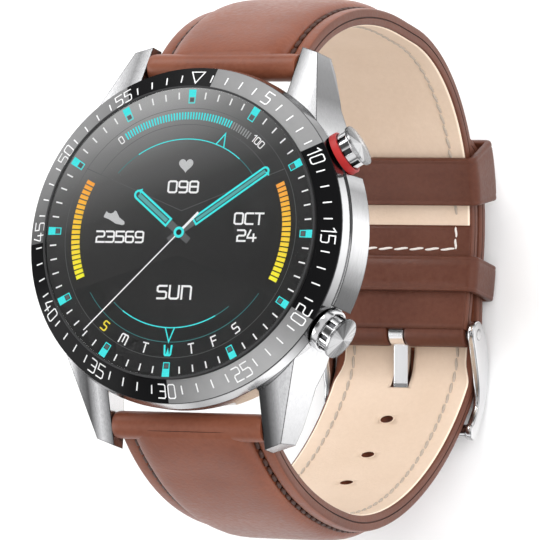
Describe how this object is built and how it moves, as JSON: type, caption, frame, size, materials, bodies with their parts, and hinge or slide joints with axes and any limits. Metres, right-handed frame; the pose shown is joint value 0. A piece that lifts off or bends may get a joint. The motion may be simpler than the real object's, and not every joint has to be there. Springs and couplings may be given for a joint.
{
  "type": "smartwatch",
  "caption": "Round smartwatch, steel case, black numbered bezel, two pushers and a padded leather strap closed on a pin buckle.",
  "frame": {"origin": "middle of the flat of the sensor window in the case back", "axes": "+Z out of the dial, +Y to 12 o'clock, +X to 3 o'clock and the pushers; the closed strap hangs below the case"},
  "size_m": [0.0476, 0.076, 0.0823],
  "materials": {
    "brushed_steel_case": "fine brushed flanks, polished bevels",
    "bezel_black": "gloss black ceramic with printed numerals",
    "crystal_glass": "clear, polished",
    "display_black": "emissive display behind glass",
    "gasket_rubber": "matte",
    "black_plastic": "matte",
    "circuit_green": "solder mask",
    "sensor_blue": "solder mask",
    "shield_metal": "tinned",
    "flex_copper": "satin polyimide film",
    "battery_wrap": "foil wrap",
    "pad_foam": "soft",
    "lamp_lens": "clear lens",
    "sensor_glass": "dark tinted",
    "gold_contact": "gold plated",
    "polished_steel": "polished",
    "spring_steel": "plain drawn wire",
    "red_lacquer": "gloss lacquer",
    "brown_leather": "smooth calf leather, fine grain, satin",
    "cream_lining": "soft nubuck lining",
    "strap_filler": "pressed filler board"
  },
  "bodies": {
    "case": {"mid_case": "brushed_steel_case", "bezel_rim": "polished_steel", "bezel_insert": "bezel_black", "crystal": "crystal_glass", "crystal_gasket": "gasket_rubber", "display_panel": "display_black", "display_frame": "shield_metal", "display_flex": "flex_copper", "inner_chassis": "black_plastic", "main_board": "circuit_green", "chip_shield": "shield_metal", "battery": "battery_wrap", "battery_pad": "pad_foam", "motor_case": "shield_metal", "speaker": "black_plastic", "microphone": "gold_contact", "side_switches": "shield_metal", "sensor_board": "sensor_blue", "sensor_lamps": "lamp_lens", "sensor_window": "sensor_glass", "case_back": "brushed_steel_case", "back_gasket": "gasket_rubber", "back_screws": "polished_steel", "charging_pins": "gold_contact", "upper_pusher_tube": "spring_steel", "lower_pusher_tube": "spring_steel", "upper_pusher_red_collar": "red_lacquer", "lower_pusher_collar": "polished_steel", "upper_pusher_spring": "spring_steel", "lower_pusher_spring": "spring_steel", "upper_spring_bar": "spring_steel", "lower_spring_bar": "spring_steel"},
    "upper_pusher": {"upper_pusher_cap": "polished_steel", "upper_pusher_stem": "spring_steel", "upper_pusher_seal": "gasket_rubber", "upper_pusher_clip": "spring_steel"},
    "lower_pusher": {"lower_pusher_cap": "polished_steel", "lower_pusher_stem": "spring_steel", "lower_pusher_seal": "gasket_rubber", "lower_pusher_clip": "spring_steel"},
    "motor_rotor": {"motor_rotor": "spring_steel"},
    "strap_upper": {"upper_strap_leather": "brown_leather", "upper_strap_lining": "cream_lining", "upper_strap_padding": "strap_filler"},
    "clasp": {"clasp_strap_leather": "brown_leather", "clasp_strap_lining": "cream_lining", "strap_turned_end": "brown_leather", "tail_leather": "brown_leather", "tail_lining": "cream_lining", "fixed_keeper": "brown_leather", "buckle_bar": "spring_steel"},
    "strap_lower": {"lower_strap_leather": "brown_leather", "lower_strap_lining": "cream_lining", "lower_strap_padding": "strap_filler"},
    "free_keeper": {"free_keeper": "brown_leather"},
    "buckle_frame": {"buckle_frame": "polished_steel"},
    "buckle_tongue": {"buckle_tongue": "polished_steel"}
  },
  "joints": [
    {"name": "upper_pusher_press", "type": "slide", "parent": "case", "child": "upper_pusher", "axis": [-0.866, -0.5, 0], "range_m": [0, 0.0006], "stiffness_N_per_m": 1200, "springref_m": -0.0004, "deforming": ["upper_pusher_spring"]},
    {"name": "lower_pusher_press", "type": "slide", "parent": "case", "child": "lower_pusher", "axis": [-0.866, 0.5, 0], "range_m": [0, 0.0006], "stiffness_N_per_m": 1200, "springref_m": -0.0004, "deforming": ["lower_pusher_spring"]},
    {"name": "motor_spin", "type": "hinge", "parent": "case", "child": "motor_rotor", "pos_m": [0.0129, -0.002, 0.005], "axis": [0, 1, 0], "continuous": true},
    {"name": "upper_strap_flex", "type": "hinge", "parent": "case", "child": "strap_upper", "pos_m": [0, 0.0247, 0.0021], "axis": [1, 0, 0], "range_deg": [-6, 6], "stiffness_Nm_per_rad": 0.8},
    {"name": "clasp_flex", "type": "hinge", "parent": "strap_upper", "child": "clasp", "pos_m": [0, 0.03835, -0.03125], "axis": [1, 0, 0], "range_deg": [-4.3, 4.3]},
    {"name": "lower_strap_flex", "type": "hinge", "parent": "clasp", "child": "strap_lower", "pos_m": [0, -0.03255, -0.02725], "axis": [1, 0, 0], "range_deg": [-4.9, 4.9]},
    {"name": "free_keeper_slide", "type": "hinge", "parent": "clasp", "child": "free_keeper", "pos_m": [0, 0.0107, -0.0363], "axis": [1, 0, 0], "range_deg": [-13, 9]},
    {"name": "buckle_frame_lift", "type": "hinge", "parent": "clasp", "child": "buckle_frame", "pos_m": [0, 0.0006, -0.065], "axis": [1, 0, 0], "range_deg": [0, 4]},
    {"name": "buckle_tongue_lift", "type": "hinge", "parent": "clasp", "child": "buckle_tongue", "pos_m": [0, 0.0006, -0.065], "axis": [1, 0, 0], "range_deg": [0, 4]}
  ],
  "couplings": [
    {"joint": "clasp_flex", "follows": "upper_strap_flex", "ratio": -0.6864},
    {"joint": "lower_strap_flex", "follows": "upper_strap_flex", "ratio": 0.7799},
    {"joint": "buckle_tongue_lift", "follows": "buckle_frame_lift", "ratio": 1}
  ]
}
